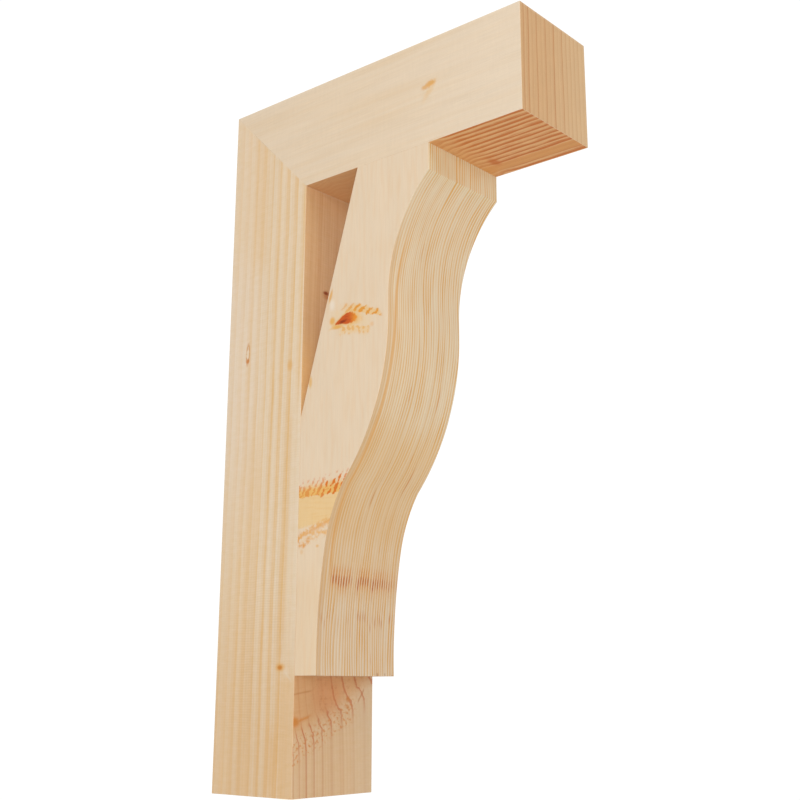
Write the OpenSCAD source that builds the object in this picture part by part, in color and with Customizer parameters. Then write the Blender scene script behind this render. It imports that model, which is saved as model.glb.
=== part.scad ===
// Timber corbel bracket: a post against the wall, a beam mitred to its top,
// and a sawn scroll brace between them.
// Frame: X across the width, -Y away from the wall, +Z up.
// The origin is the centre of the wall face.

/* [Timber] */
// Width of all three timbers, from side to side
timber_w = 101.6; // [60:0.1:160]
// Thickness of the post and of the beam, in side view
timber_d = 101.6; // [80:0.1:120]

/* [Bracket] */
// Reach of the beam from the wall to its front end
reach = 355.6; // [280:0.1:600]
// Height of the post from its foot to the top of the beam
height = 660.4; // [645:0.1:720]

/* [Brace seats] */
// Height of the brace's bottom above the foot of the post
foot_rise = 101.6; // [60:0.1:110]
// Height of the joint between the brace and the post
post_seat = 228.6; // [150:0.1:300]
// Distance from the post to the back of the brace, under the beam
seat_back = 67; // [30:0.5:100]
// Distance from the post to the front of the brace, under the beam
seat_front = 152.4; // [145:0.1:165]

/* [Brace scroll] */
// Height of the square lip under the beam
lip = 25.4; // [10:0.1:35]
// Radius of the upper hollow, and of the lower one where it leaves the swell
cove_r = 145; // [135:1:165]
// Distance from the post to the plumb stretch at the waist
waist = 106; // [102:0.5:115]
// Height of the foot of that stretch above the brace's bottom
waist_rise = 305.5; // [295:0.5:315]
// Radius of the swell below the waist
swell_r = 219; // [205:1:250]
// Height of the arris where the swell meets the lower hollow, above the brace's bottom
arris_rise = 165.1; // [155:0.1:172]
// Distance from the post to the toe, where the lower hollow is plumb
toe = 26; // [20:0.1:30]
// Height of that plumb point above the brace's bottom
toe_rise = 18; // [0:0.5:25]
// Radius of the lower hollow's long flat stretch down to the toe
toe_r = 549; // [480:1:620]

/* [Hidden] */
fine = 180;

// Side-view outlines are [distance from the wall, height above the post's foot],
// and the brace's own are [distance from the post, height above the brace's bottom].
soffit = height - timber_d;
brace_h = soffit - foot_rise;

// Centres of the arcs, each tangent to a plumb line: the upper hollow also runs
// through the foot of the lip.
upper_cove = [waist + cove_r, brace_h - lip - leg(cove_r, waist + cove_r - seat_front)];
swell = [waist - swell_r, waist_rise];
toe_cove = [toe + toe_r, toe_rise];

// The lower hollow starts on the swell at the arris and runs tangent into the flat stretch.
arris = [swell[0] + leg(swell_r, waist_rise - arris_rise), arris_rise];
lower_cove = meeting(toe_cove, toe_r - cove_r, arris, cove_r);
inward = (toe_cove - lower_cove) / (toe_r - cove_r);
blend = lower_cove - inward * cove_r;
// How far above the blend the swell laps deepest over the lower hollow's circle.
lap = (swell - lower_cove) * [-inward[1], inward[0]] * cove_r / norm(swell - lower_cove);

// The other short side of a right triangle.
function leg(hypotenuse, side) = sqrt(hypotenuse * hypotenuse - side * side);

// The point at r_a from a and r_b from b that lies on the post's side of the line from a to b.
function meeting(a, r_a, b, r_b) =
    let (gap = norm(b - a),
         along = (r_a * r_a - r_b * r_b + gap * gap) / (2 * gap),
         dir = (b - a) / gap)
    a + dir * along + [-dir[1], dir[0]] * leg(r_a, along);

// Stands a side-view outline up against the wall, as thick as the timbers are wide.
module timber() {
    translate([0, 0, -height / 2])
        rotate([90, 0, -90])
            translate([0, 0, -timber_w / 2])
                linear_extrude(timber_w) children();
}

// The board that the brace is sawn from, with its sloping back already cut.
module brace_blank() {
    polygon([
        [0, 0], [seat_front, 0], [seat_front, brace_h], [seat_back, brace_h], [0, post_seat]
    ]);
}

// What the saw leaves above the waist, from the upper hollow to the beam.
module head() {
    difference() {
        translate([0, upper_cove[1]]) square([seat_front, brace_h - upper_cove[1]]);
        translate(upper_cove) circle(cove_r, $fn = fine);
    }
    translate([0, waist_rise]) square([waist, brace_h - lip - waist_rise]);
}

// What it leaves inside the swell, up to the waist.
module belly() {
    intersection() {
        translate(swell) circle(swell_r, $fn = fine);
        square([waist, waist_rise]);
    }
}

// What it leaves behind the lower hollow: the two arcs meet at the blend, on a shared tangent.
module foot() {
    translate(blend)
        rotate(atan2(inward[1], inward[0])) {
            difference() {
                translate([-cove_r, 0]) square([2 * cove_r, lap]);
                translate([cove_r, 0]) circle(cove_r, $fn = fine);
            }
            difference() {
                translate([-cove_r, -cove_r]) square([2 * cove_r, cove_r]);
                translate([toe_r, 0]) circle(toe_r, $fn = fine);
            }
        }
}

module post() {
    color("#E6CBA5")
        timber()
            polygon([[0, 0], [timber_d, 0], [timber_d, soffit], [0, height]]);
}

module beam() {
    color("#EBD3AE")
        timber()
            polygon([[0, height], [timber_d, soffit], [reach, soffit], [reach, height]]);
}

module brace() {
    color("#E3C298")
        timber()
            translate([timber_d, foot_rise])
                intersection() {
                    brace_blank();
                    union() {
                        head();
                        belly();
                        foot();
                    }
                }
}

post();
beam();
brace();
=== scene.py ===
from math import radians

import bpy
import numpy as np
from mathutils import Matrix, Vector


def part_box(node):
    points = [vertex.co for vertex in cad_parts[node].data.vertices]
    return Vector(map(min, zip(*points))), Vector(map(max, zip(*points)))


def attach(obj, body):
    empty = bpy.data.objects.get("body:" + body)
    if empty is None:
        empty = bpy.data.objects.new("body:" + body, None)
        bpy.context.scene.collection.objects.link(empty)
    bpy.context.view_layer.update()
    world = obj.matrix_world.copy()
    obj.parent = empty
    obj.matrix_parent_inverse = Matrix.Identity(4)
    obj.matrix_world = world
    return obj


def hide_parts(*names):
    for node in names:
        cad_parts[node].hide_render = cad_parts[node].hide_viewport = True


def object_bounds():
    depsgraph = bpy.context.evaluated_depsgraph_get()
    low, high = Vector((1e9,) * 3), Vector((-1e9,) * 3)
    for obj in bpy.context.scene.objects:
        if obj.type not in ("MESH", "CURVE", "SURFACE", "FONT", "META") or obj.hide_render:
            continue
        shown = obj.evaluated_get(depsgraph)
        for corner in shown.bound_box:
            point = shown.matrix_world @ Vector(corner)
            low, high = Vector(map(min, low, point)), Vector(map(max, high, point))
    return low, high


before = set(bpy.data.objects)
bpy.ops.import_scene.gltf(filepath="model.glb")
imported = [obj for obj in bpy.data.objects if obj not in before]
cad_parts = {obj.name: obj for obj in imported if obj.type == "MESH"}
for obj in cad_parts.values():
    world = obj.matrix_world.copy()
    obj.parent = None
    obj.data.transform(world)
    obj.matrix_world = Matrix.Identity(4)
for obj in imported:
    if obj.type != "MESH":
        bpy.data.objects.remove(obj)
cad_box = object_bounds()

# The studio: a pale floor well below the bracket's foot, a white surround and three broad
# soft lights. The main one stands to the left, so the sides read brightest, then the
# faces turned to the room, then the undersides.
scene = bpy.context.scene
scene.view_settings.view_transform = "Standard"
scene.view_settings.look = "None"

camera_data = bpy.data.cameras.new("studio camera")
camera_data.lens = 55.6
camera_data.sensor_width = 36.0
camera_data.shift_x = -0.0179
camera_data.shift_y = -0.0545
camera = bpy.data.objects.new("studio_camera", camera_data)
camera.location = (-0.8307, -0.8934, -0.2394)
camera.rotation_euler = (radians(105.053), 0.0, radians(-49.94))
scene.collection.objects.link(camera)
scene.camera = camera

surround = bpy.data.worlds.new("studio surround")
surround.use_nodes = True
scene.world = surround
surround_tree = surround.node_tree
surround_tree.nodes.clear()
SEEN_WHITE = 1.05
SOFT_FILL = 0.48
light_path = surround_tree.nodes.new("ShaderNodeLightPath")
level = surround_tree.nodes.new("ShaderNodeMapRange")
level.inputs["To Min"].default_value = SOFT_FILL
level.inputs["To Max"].default_value = SEEN_WHITE
backdrop = surround_tree.nodes.new("ShaderNodeBackground")
backdrop.inputs["Color"].default_value = (1.0, 1.0, 1.0, 1.0)
surround_out = surround_tree.nodes.new("ShaderNodeOutputWorld")
surround_tree.links.new(light_path.outputs["Is Camera Ray"], level.inputs["Value"])
surround_tree.links.new(level.outputs["Result"], backdrop.inputs["Strength"])
surround_tree.links.new(backdrop.outputs["Background"], surround_out.inputs["Surface"])


def soft_light(name, place, aim, side, power):
    """A square soft box of the given side, standing at `place` and turned to `aim`."""
    data = bpy.data.lights.new(name, "AREA")
    data.shape = "SQUARE"
    data.size = side
    data.energy = power
    lamp = bpy.data.objects.new(name, data)
    lamp.location = place
    towards = Vector(aim) - Vector(place)
    lamp.rotation_euler = towards.to_track_quat("-Z", "Y").to_euler()
    scene.collection.objects.link(lamp)
    return lamp


BRACKET_MIDDLE = (0.0, -0.15, 0.0)
soft_light("key_light", (-2.6, -1.9, -0.2), BRACKET_MIDDLE, 2.0, 49.0)
soft_light("top_light", (-0.6, -1.2, 2.6), BRACKET_MIDDLE, 1.8, 24.0)
soft_light("right_light", (2.8, -0.8, 0.6), BRACKET_MIDDLE, 1.8, 21.0)

FLOOR_DROP = 0.9
FLOOR_RADIUS = 3.2
FLOOR_SIDES = 96
floor_level = cad_box[0].z - FLOOR_DROP
turn = np.linspace(0.0, 2.0 * np.pi, FLOOR_SIDES, endpoint=False)
rim = np.stack(
    (FLOOR_RADIUS * np.cos(turn), FLOOR_RADIUS * np.sin(turn), np.full(FLOOR_SIDES, floor_level)),
    axis=1,
)
floor_mesh = bpy.data.meshes.new("studio_floor")
floor_mesh.from_pydata(rim.tolist(), [], [list(range(FLOOR_SIDES))])
floor = bpy.data.objects.new("studio_floor", floor_mesh)
scene.collection.objects.link(floor)
floor_paint = bpy.data.materials.new("pale floor paint")
floor_paint.use_nodes = True
floor_shader = floor_paint.node_tree.nodes["Principled BSDF"]
floor_shader.inputs["Base Color"].default_value = (0.85, 0.84, 0.82, 1.0)
floor_shader.inputs["Roughness"].default_value = 0.8
floor_mesh.materials.append(floor_paint)

# The post: a planed softwood 4 by 4 that stands flat on the wall, sawn square at its foot
# and mitred at its head, where it meets the beam; no screw, plug or plate shows. The
# growth rings run diagonally through it, so both showing faces carry plumb lines.
INCH = 0.0254
MM = 0.001
CELL = 2.54
ARRIS_EASE = 0.45
JOINT_EASE = 0.05
JOINT_WEAR = 0.12
SAWN_EASE = 0.4


class Field:
    """A number or vector inside a node tree. Arithmetic on it lays down Math nodes."""

    def __init__(self, tree, socket):
        self.tree = tree
        self.socket = socket

    def math(self, operation, *others):
        node = self.tree.nodes.new("ShaderNodeMath")
        node.operation = operation
        for slot, value in zip(node.inputs, (self, *others)):
            feed(self.tree, slot, value)
        return Field(self.tree, node.outputs[0])

    def __add__(self, other):
        return self.math("ADD", other)

    def __radd__(self, other):
        return self.math("ADD", other)

    def __sub__(self, other):
        return self.math("SUBTRACT", other)

    def __rsub__(self, other):
        return self.math("MULTIPLY_ADD", -1.0, other)

    def __mul__(self, other):
        return self.math("MULTIPLY", other)

    def __rmul__(self, other):
        return self.math("MULTIPLY", other)

    def __truediv__(self, other):
        return self.math("DIVIDE", other)

    def over(self, top):
        """`top` divided by this value."""
        return self.math("POWER", -1.0) * top

    def ramp(self, start, end):
        """0 before `start`, 1 past `end`, eased between; `end` may be the smaller."""
        node = self.tree.nodes.new("ShaderNodeMapRange")
        node.interpolation_type = "SMOOTHSTEP"
        feed(self.tree, node.inputs["Value"], self)
        feed(self.tree, node.inputs["From Min"], start)
        feed(self.tree, node.inputs["From Max"], end)
        return Field(self.tree, node.outputs["Result"])

    def near(self, place, reach):
        """1 at `place`, easing to 0 at `reach` from it."""
        return (self - place).math("ABSOLUTE").ramp(reach, 0.0)

    def band(self, start, end, soft):
        """1 between `start` and `end`, easing to 0 over `soft` outside them."""
        return self.ramp(start - soft, start) * self.ramp(end + soft, end)


def feed(tree, slot, value):
    """Links a field to a socket, or sets the socket's own value."""
    if isinstance(value, Field):
        tree.links.new(value.socket, slot)
    else:
        slot.default_value = value


def lay(tree, kind, inputs, output=0, **settings):
    """Lays down one node with its settings and inputs, and gives one of its outputs."""
    node = tree.nodes.new(kind)
    for name, value in settings.items():
        setattr(node, name, value)
    for name, value in inputs.items():
        feed(tree, node.inputs[name], value)
    return Field(tree, node.outputs[output])


def tree_of(*values):
    """The node tree of the first field among some values."""
    return next(value.tree for value in values if isinstance(value, Field))


def join(x, y, z):
    """A vector from its three parts."""
    return lay(tree_of(x, y, z), "ShaderNodeCombineXYZ", {"X": x, "Y": y, "Z": z})


def split(vector):
    """The three parts of a vector."""
    node = vector.tree.nodes.new("ShaderNodeSeparateXYZ")
    feed(vector.tree, node.inputs[0], vector)
    return [Field(vector.tree, socket) for socket in node.outputs]


def vector_math(operation, *values, output="Vector"):
    """One vector sum on fields and plain vectors."""
    tree = tree_of(*values)
    return lay(tree, "ShaderNodeVectorMath", dict(enumerate(values)), output, operation=operation)


def scale(vector, factor):
    """A vector or a colour, made longer or brighter by a factor."""
    inputs = {0: vector, "Scale": factor}
    return lay(vector.tree, "ShaderNodeVectorMath", inputs, operation="SCALE")


CLOUD_SPREAD = 3.2


def noise(point, patch, detail=1.0, shift=0.0):
    """A cloudy value from about -1 to 1, whose patches have the size `patch` along X, Y and Z."""
    per_patch = tuple(1.0 / size for size in patch)
    moved = (shift, 0.7 * shift, 0.3 * shift)
    scaled = vector_math("MULTIPLY_ADD", point, per_patch, moved)
    cloud = lay(
        point.tree,
        "ShaderNodeTexNoise",
        {"Vector": scaled, "Scale": 1.0, "Detail": detail, "Roughness": 0.55},
    )
    return (cloud - 0.5) * CLOUD_SPREAD


def blend(share, first, second, blend_type="MIX"):
    """Mixes two colours by a share from 0 to 1."""
    tree = tree_of(share, first, second)
    node = tree.nodes.new("ShaderNodeMix")
    node.data_type = "RGBA"
    node.blend_type = blend_type
    feed(tree, node.inputs[0], share)
    feed(tree, node.inputs[6], first)
    feed(tree, node.inputs[7], second)
    return Field(tree, node.outputs[2])


def spot(across, up, place_across, place_up, size_across, size_up):
    """1 in the middle of an oval spot, easing to 0 at its edge."""
    off_across = (across - place_across) / size_across
    off_up = (up - place_up) / size_up
    return (off_across * off_across + off_up * off_up).math("SQRT").ramp(1.0, 0.25)


class Paint:
    """The colour of a timber or a face, built up one stain over another."""

    def __init__(self, colour):
        self.colour = colour

    def stain(self, share, tint):
        """Covers a share, from 0 to 1, of what is there with `tint`."""
        self.colour = blend(share, self.colour, tint)

    def multiply(self, tint):
        """Multiplies what is there by another colour."""
        self.colour = blend(1.0, self.colour, tint, "MULTIPLY")

    def shade(self, factor):
        """Makes what is there brighter or darker by a factor."""
        self.colour = scale(self.colour, factor)

    def mark(self, across, up, mask, marks):
        """Stains oval marks: middle across and up, reach across and up, share, and tint."""
        for middle_across, middle_up, reach_across, reach_up, share, tint in marks:
            oval = spot(across, up, middle_across, middle_up, reach_across, reach_up)
            self.stain(oval * mask * share, tint)


def node_group(name, kind, inputs, outputs):
    """An empty node group with named sockets: its tree, its inputs as fields, its output node."""
    tree = bpy.data.node_groups.new(name, kind)
    for label, (socket_type, value) in inputs.items():
        socket = tree.interface.new_socket(label, in_out="INPUT", socket_type=socket_type)
        if value is not None:
            socket.default_value = value
    for label, socket_type in outputs.items():
        tree.interface.new_socket(label, in_out="OUTPUT", socket_type=socket_type)
    start = tree.nodes.new("NodeGroupInput")
    end = tree.nodes.new("NodeGroupOutput")
    return tree, {s.name: Field(tree, s) for s in start.outputs if s.name}, end


def use_group(tree, group, **inputs):
    """Places a shader group in a tree and gives its outputs by name."""
    node = tree.nodes.new("ShaderNodeGroup")
    node.node_tree = group
    for label, value in inputs.items():
        feed(tree, node.inputs[label.replace("_", " ")], value)
    return {s.name: Field(tree, s) for s in node.outputs}


TURN = 6.2832
FLOAT = "NodeSocketFloat"
VECTOR = "NodeSocketVector"

# Growth rings: pale early wood that deepens slowly, then ends at a sharp dark edge.
RING_EDGE = 0.90
ring_tree, ring_in, ring_out = node_group(
    "growth rings",
    "ShaderNodeTree",
    {
        "Ring Count": (FLOAT, 0.0),
        "Dark Share": (FLOAT, 0.6),
        "Unevenness": (FLOAT, 0.5),
        "Seed": (FLOAT, 0.0),
    },
    {"Late Wood": FLOAT, "Line": FLOAT, "Ring Tone": FLOAT},
)
ring_number = ring_in["Ring Count"].math("FLOOR")
ring_place = ring_in["Ring Count"] - ring_number
ring_tone = lay(
    ring_tree, "ShaderNodeTexWhiteNoise", {"W": ring_number + ring_in["Seed"]}, noise_dimensions="1D"
)
late = ring_place.ramp(1.0 - ring_in["Dark Share"], RING_EDGE) * ring_place.ramp(1.0, 0.955)
late_strength = 1.0 - ring_in["Unevenness"] * ring_tone
line = ring_place.ramp(0.74, 0.93) * ring_place.ramp(1.0, 0.965)
feed(ring_tree, ring_out.inputs["Late Wood"], late * late_strength)
feed(ring_tree, ring_out.inputs["Line"], line * late_strength)
feed(ring_tree, ring_out.inputs["Ring Tone"], ring_tone)

# Fibres: fine streaks and broad cloudy bands along the grain, and a few short resin marks.
fibre_tree, fibre_in, fibre_out = node_group(
    "wood fibres",
    "ShaderNodeTree",
    {"Point": (VECTOR, None), "Streak Size": (VECTOR, None), "Cloud Size": (VECTOR, None)},
    {"Streaks": FLOAT, "Clouds": FLOAT, "Resin": FLOAT},
)


def sized_noise(point, size, detail, shift):
    """A cloudy value, about -1 to 1, whose patch size comes in as a vector."""
    scaled = vector_math("DIVIDE", point, size)
    moved = vector_math("ADD", scaled, (shift, shift, shift))
    cloud = lay(
        point.tree,
        "ShaderNodeTexNoise",
        {"Vector": moved, "Scale": 1.0, "Detail": detail, "Roughness": 0.6},
    )
    return (cloud - 0.5) * CLOUD_SPREAD


streaks = sized_noise(fibre_in["Point"], fibre_in["Streak Size"], 2.0, 0.0)
clouds = sized_noise(fibre_in["Point"], fibre_in["Cloud Size"], 2.0, 7.3)
resin_size = vector_math("MULTIPLY", fibre_in["Streak Size"], (1.6, 1.6, 1.6))
resin = sized_noise(fibre_in["Point"], resin_size, 0.0, 3.1)
feed(fibre_tree, fibre_out.inputs["Streaks"], streaks)
feed(fibre_tree, fibre_out.inputs["Clouds"], clouds)
feed(fibre_tree, fibre_out.inputs["Resin"], resin.ramp(0.95, 1.2))

# Feathered grain: the row of short slanting dashes where the saw crosses fibres that turn
# round a knot. `Along` runs with the row and `Off` is the distance above it.
feather_tree, feather_in, feather_out = node_group(
    "feathered grain",
    "ShaderNodeTree",
    {
        "Along": (FLOAT, 0.0),
        "Off": (FLOAT, 0.0),
        "Pitch": (FLOAT, 0.13),
        "Slant": (FLOAT, 0.5),
        "Up": (FLOAT, 0.3),
        "Down": (FLOAT, 0.1),
        "Tear": (FLOAT, 0.5),
        "Seed": (FLOAT, 0.0),
    },
    {"Dashes": FLOAT, "Row": FLOAT},
)
rough_spot = join(feather_in["Along"], feather_in["Off"], feather_in["Seed"])
curl_along = noise(rough_spot, (0.30, 0.22, 1.0), 2.0, 1.0)
curl_off = noise(rough_spot, (0.22, 0.35, 1.0), 2.0, 5.0)
torn = noise(rough_spot, (0.13, 0.12, 1.0), 2.0, 9.0)
slid = feather_in["Along"] - feather_in["Off"] * feather_in["Slant"] + curl_along * 0.09
off = feather_in["Off"] + curl_off * 0.09
wave = (slid / feather_in["Pitch"] * TURN).math("SINE")
row = off.ramp(feather_in["Up"], 0.0) * off.ramp(feather_in["Down"] * -1.0, 0.0)
tear = feather_in["Tear"]
dashes = (wave * (0.8 - tear * 0.6) + torn * (tear + 0.2) + row * 0.3).ramp(0.0, 0.8)
feed(feather_tree, feather_out.inputs["Dashes"], dashes * row)
feed(feather_tree, feather_out.inputs["Row"], row)

# Which way a face looks decides how deep the wood's colour is: the long sides are palest, and undersides
# carry a painted shade.
facing_tree, _, facing_out = node_group(
    "face direction",
    "ShaderNodeTree",
    {},
    {"Side": FLOAT, "Front": FLOAT, "Level": FLOAT, "Under": FLOAT},
)
face_normal = lay(facing_tree, "ShaderNodeNewGeometry", {}, "Normal")
normal_x, normal_y, normal_z = split(face_normal)
feed(facing_tree, facing_out.inputs["Side"], normal_x.math("ABSOLUTE").ramp(0.55, 0.85))
feed(facing_tree, facing_out.inputs["Front"], normal_y.math("ABSOLUTE").ramp(0.55, 0.85))
feed(facing_tree, facing_out.inputs["Level"], normal_z.math("ABSOLUTE").ramp(0.75, 0.95))
feed(facing_tree, facing_out.inputs["Under"], normal_z.ramp(-0.75, -0.95))


NEAR_FOOT_CORNER = (2.0, 0.0, 13.0)
BARE_ROUGHNESS = 0.56
BARE_GLOSS = 0.28
GRAIN_DEPTH = 0.0004
# The paler colour of the arrises: partly rubbed wear, partly a painted highlight.
WORN_AND_HIGHLIT_ARRIS = (0.84, 0.71, 0.54, 1)


def wood_material(name):
    """A new material: its tree, its shader, and the point in inches from the near foot corner."""
    material = bpy.data.materials.new(name)
    material.use_nodes = True
    tree = material.node_tree
    shader = tree.nodes["Principled BSDF"]
    place = lay(tree, "ShaderNodeTexCoord", {}, "Object")
    inches = 1.0 / INCH
    point = lay(
        tree,
        "ShaderNodeMapping",
        {"Vector": place, "Location": NEAR_FOOT_CORNER, "Scale": (inches, -inches, inches)},
    )
    return material, tree, shader, point


def finish_wood(tree, shader, colour, relief, sheen_break):
    """Joins colour, relief and roughness to the shader of a bare, planed timber."""
    # Arrises are painted a little paler: partly rubbed wear, partly a painted highlight along the eased
    # edge.
    worn_and_highlit = lay(tree, "ShaderNodeAttribute", {}, "Fac", attribute_name="arris")
    rubbed_and_highlit = blend(worn_and_highlit * 0.22, colour, WORN_AND_HIGHLIT_ARRIS)
    feed(tree, shader.inputs["Base Color"], rubbed_and_highlit)
    feed(tree, shader.inputs["Roughness"], BARE_ROUGHNESS + 0.06 * sheen_break)
    shader.inputs["Specular IOR Level"].default_value = BARE_GLOSS
    bump = lay(tree, "ShaderNodeBump", {"Height": relief, "Strength": 0.35, "Distance": GRAIN_DEPTH})
    feed(tree, shader.inputs["Normal"], bump)


def stations(length, low_ease, high_ease):
    """Rows along one edge of a timber: close over the eased corners, even in between."""
    count = max(2, round(length / CELL))
    inner = np.linspace(0.0, length, count + 1)
    inner[0] = low_ease
    inner[-1] = length - high_ease
    low = np.array((0.0, 0.5 * low_ease))
    high = np.array((length - 0.5 * high_ease, length))
    return np.concatenate((low, inner, high))


def planed_block(name, low, high, low_ease, high_ease, mitre):
    """A closed, evenly gridded block with eased arrises, whose ends are then cut by `mitre`."""
    low, high = np.array(low, float), np.array(high, float)
    low_ease, high_ease = np.array(low_ease), np.array(high_ease)
    rows = [low[a] + stations(high[a] - low[a], low_ease[a], high_ease[a]) for a in range(3)]
    counts = [len(r) for r in rows]
    quads = []
    for axis in range(3):
        u, v = (axis + 1) % 3, (axis + 2) % 3
        iu, iv = np.meshgrid(np.arange(counts[u] - 1), np.arange(counts[v] - 1), indexing="ij")
        for level_index, corners in (
            (0, ((0, 0), (0, 1), (1, 1), (1, 0))),
            (counts[axis] - 1, ((0, 0), (1, 0), (1, 1), (0, 1))),
        ):
            quad = np.zeros((iu.size, 4, 3), int)
            quad[:, :, axis] = level_index
            for c, (du, dv) in enumerate(corners):
                quad[:, c, u] = (iu + du).ravel()
                quad[:, c, v] = (iv + dv).ravel()
            quads.append(quad)
    quads = np.concatenate(quads)
    keys, index = np.unique(quads.reshape(-1, 3), axis=0, return_inverse=True)
    points = np.stack([rows[a][keys[:, a]] for a in range(3)], axis=1)
    under = np.clip((low + low_ease - points) / low_ease, 0.0, 1.0)
    over = np.clip((points - high + high_ease) / high_ease, 0.0, 1.0)
    tight = np.where(high_ease < SAWN_EASE, JOINT_WEAR, 1.0)
    reach = np.sqrt((under**2 + over**2 * tight).sum(axis=1))[:, None]
    pull = 1.0 - 1.0 / np.maximum(reach, 1.0)
    points += (under * low_ease - over * high_ease) * pull
    # Points on two eased faces at once are the arrises that get the paler wear-and-highlight paint.
    worn_and_highlit = ((under + over > 0.0).sum(axis=1) > 1).astype(np.float32)
    points = mitre(points)
    mesh = bpy.data.meshes.new(name)
    mesh.from_pydata((points * MM).tolist(), [], index.reshape(-1, 4).tolist())
    mesh.attributes.new("arris", "FLOAT", "POINT").data.foreach_set("value", worn_and_highlit)
    block = bpy.data.objects.new(name, mesh)
    scene.collection.objects.link(block)
    return block


# Hand finish: the planer and the wood's own movement leave each face very slightly uneven,
# and a knot stands a hair proud of the softer wood round it.
finish_tree, finish_in, finish_out = node_group(
    "hand finish",
    "GeometryNodeTree",
    {
        "Geometry": ("NodeSocketGeometry", None),
        "Unevenness": (FLOAT, 0.0001),
        "Patch": (VECTOR, (0.03, 0.03, 0.15)),
        "Knot Place": (VECTOR, (0.0, 0.0, 0.0)),
        "Knot Size": (VECTOR, (0.01, 0.01, 0.01)),
        "Knot Height": (FLOAT, 0.0),
        "Seed": (FLOAT, 0.0),
        "Wood": ("NodeSocketMaterial", None),
    },
    {"Geometry": "NodeSocketGeometry"},
)
finish_place = lay(finish_tree, "GeometryNodeInputPosition", {})
finish_normal = lay(finish_tree, "GeometryNodeInputNormal", {})
finish_scaled = vector_math("DIVIDE", finish_place, finish_in["Patch"])
finish_cloud = lay(
    finish_tree,
    "ShaderNodeTexNoise",
    {"Vector": finish_scaled, "W": finish_in["Seed"], "Scale": 1.0, "Detail": 1.0},
    noise_dimensions="4D",
)
knot_offset = vector_math("SUBTRACT", finish_place, finish_in["Knot Place"])
knot_scaled = vector_math("DIVIDE", knot_offset, finish_in["Knot Size"])
knot_reach = vector_math("LENGTH", knot_scaled, output="Value")
swelling = knot_reach.ramp(1.0, 0.6) * finish_in["Knot Height"]
rise = finish_in["Unevenness"] * (finish_cloud - 0.62) + swelling
finish_shift = scale(finish_normal, rise)
finish_moved = lay(
    finish_tree,
    "GeometryNodeSetPosition",
    {"Geometry": finish_in["Geometry"], "Offset": finish_shift},
)
finish_single = lay(finish_tree, "GeometryNodeRealizeInstances", {"Geometry": finish_moved})
finish_wooden = lay(
    finish_tree, "GeometryNodeSetMaterial", {"Geometry": finish_single, "Material": finish_in["Wood"]}
)
feed(finish_tree, finish_out.inputs["Geometry"], finish_wooden)


def keep_result(block):
    """Keeps what a block's modifier makes as the block's own plain mesh."""
    block.update_tag()
    depsgraph = bpy.context.evaluated_depsgraph_get()
    made = bpy.data.meshes.new_from_object(block.evaluated_get(depsgraph))
    block.modifiers.clear()
    made.name = block.name
    block.data = made


def dress(block, tree, **values):
    """Runs a geometry tree on a block, with the tree's named inputs, and keeps its result."""
    modifier = block.modifiers.new(tree.name, "NODES")
    modifier.node_group = tree
    named = {
        item.name: item.identifier
        for item in tree.interface.items_tree
        if item.item_type == "SOCKET" and item.in_out == "INPUT"
    }
    for label, value in values.items():
        modifier[named[label.replace("_", " ")]] = value
    keep_result(block)


def settle(block, node):
    """Crisp arrises on the finished mesh, then its place on the bracket's frame."""
    block.data.polygons.foreach_set("use_smooth", [True] * len(block.data.polygons))
    block.data.set_sharp_from_angle(angle=radians(32.0))
    even = block.modifiers.new("even shading", "WEIGHTED_NORMAL")
    even.keep_sharp = True
    keep_result(block)
    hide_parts(node)
    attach(block, "root")


def box_in_mm(node):
    """The lowest and the highest corner of a solid of the construction model, in millimetres."""
    return [np.round(np.array(corner) / MM, 3).tolist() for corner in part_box(node)]


post_low, post_high = box_in_mm("post")


def mitre_head(points):
    """Leans the rows over, from level at the foot to the 45 degree mitre at the head."""
    share = (points[:, 2] - post_low[2]) / (post_high[2] - post_low[2])
    points[:, 2] += share * points[:, 1]
    return points


post = planed_block(
    "post_timber",
    post_low,
    post_high,
    (ARRIS_EASE, ARRIS_EASE, SAWN_EASE),
    (ARRIS_EASE, ARRIS_EASE, JOINT_EASE),
    mitre_head,
)

# The colours of the post: bare wood first, then the marks in it.
BACK_LOW = (0.780, 0.600, 0.402, 1)
BACK_HIGH = (0.790, 0.640, 0.480, 1)
EARLY_WOOD = (0.780, 0.625, 0.445, 1)
LATE_TAN = (0.735, 0.440, 0.165, 1)
FRONT_EARLY = (0.735, 0.535, 0.335, 1)
FRONT_LATE = (0.58, 0.28, 0.11, 1)
FRONT_LINE = (0.56, 0.235, 0.110, 1)
FRONT_PALE = (0.755, 0.600, 0.420, 1)
OVER_BRANCH = (0.70, 0.375, 0.160, 1)
HEART_RED = (0.66, 0.270, 0.110, 1)
SWEPT_BROWN = (0.62, 0.290, 0.095, 1)
HOOK_RED = (0.57, 0.185, 0.070, 1)
FLECK_ORANGE = (0.64, 0.250, 0.060, 1)
EMBER = (0.64, 0.24, 0.040, 1)
DULL_EMBER = (0.60, 0.235, 0.050, 1)
TORN_BROWN = (0.53, 0.200, 0.070, 1)
BARK_BROWN = (0.54, 0.24, 0.07, 1)
CROSS_BROWN = (0.50, 0.19, 0.06, 1)
GAP_SHADE_TAN = (0.71, 0.430, 0.210, 1)
GAP_LINE = (0.52, 0.250, 0.100, 1)
GAP_BOUNCE_LIGHT = (0.90, 0.570, 0.250, 1)
PALE_BLOTCH = (0.80, 0.66, 0.50, 1)
PITCH_RIM = (0.60, 0.260, 0.065, 1)
PALE_TAIL = (0.77, 0.64, 0.49, 1)
NO_TINT = (1, 1, 1, 1)
FOOT_TINT = (0.935, 0.87, 0.79, 1)
HEAD_TINT = (1.01, 1.0, 0.985, 1)
POST_RESIN = (0.66, 0.36, 0.14, 1)

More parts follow.
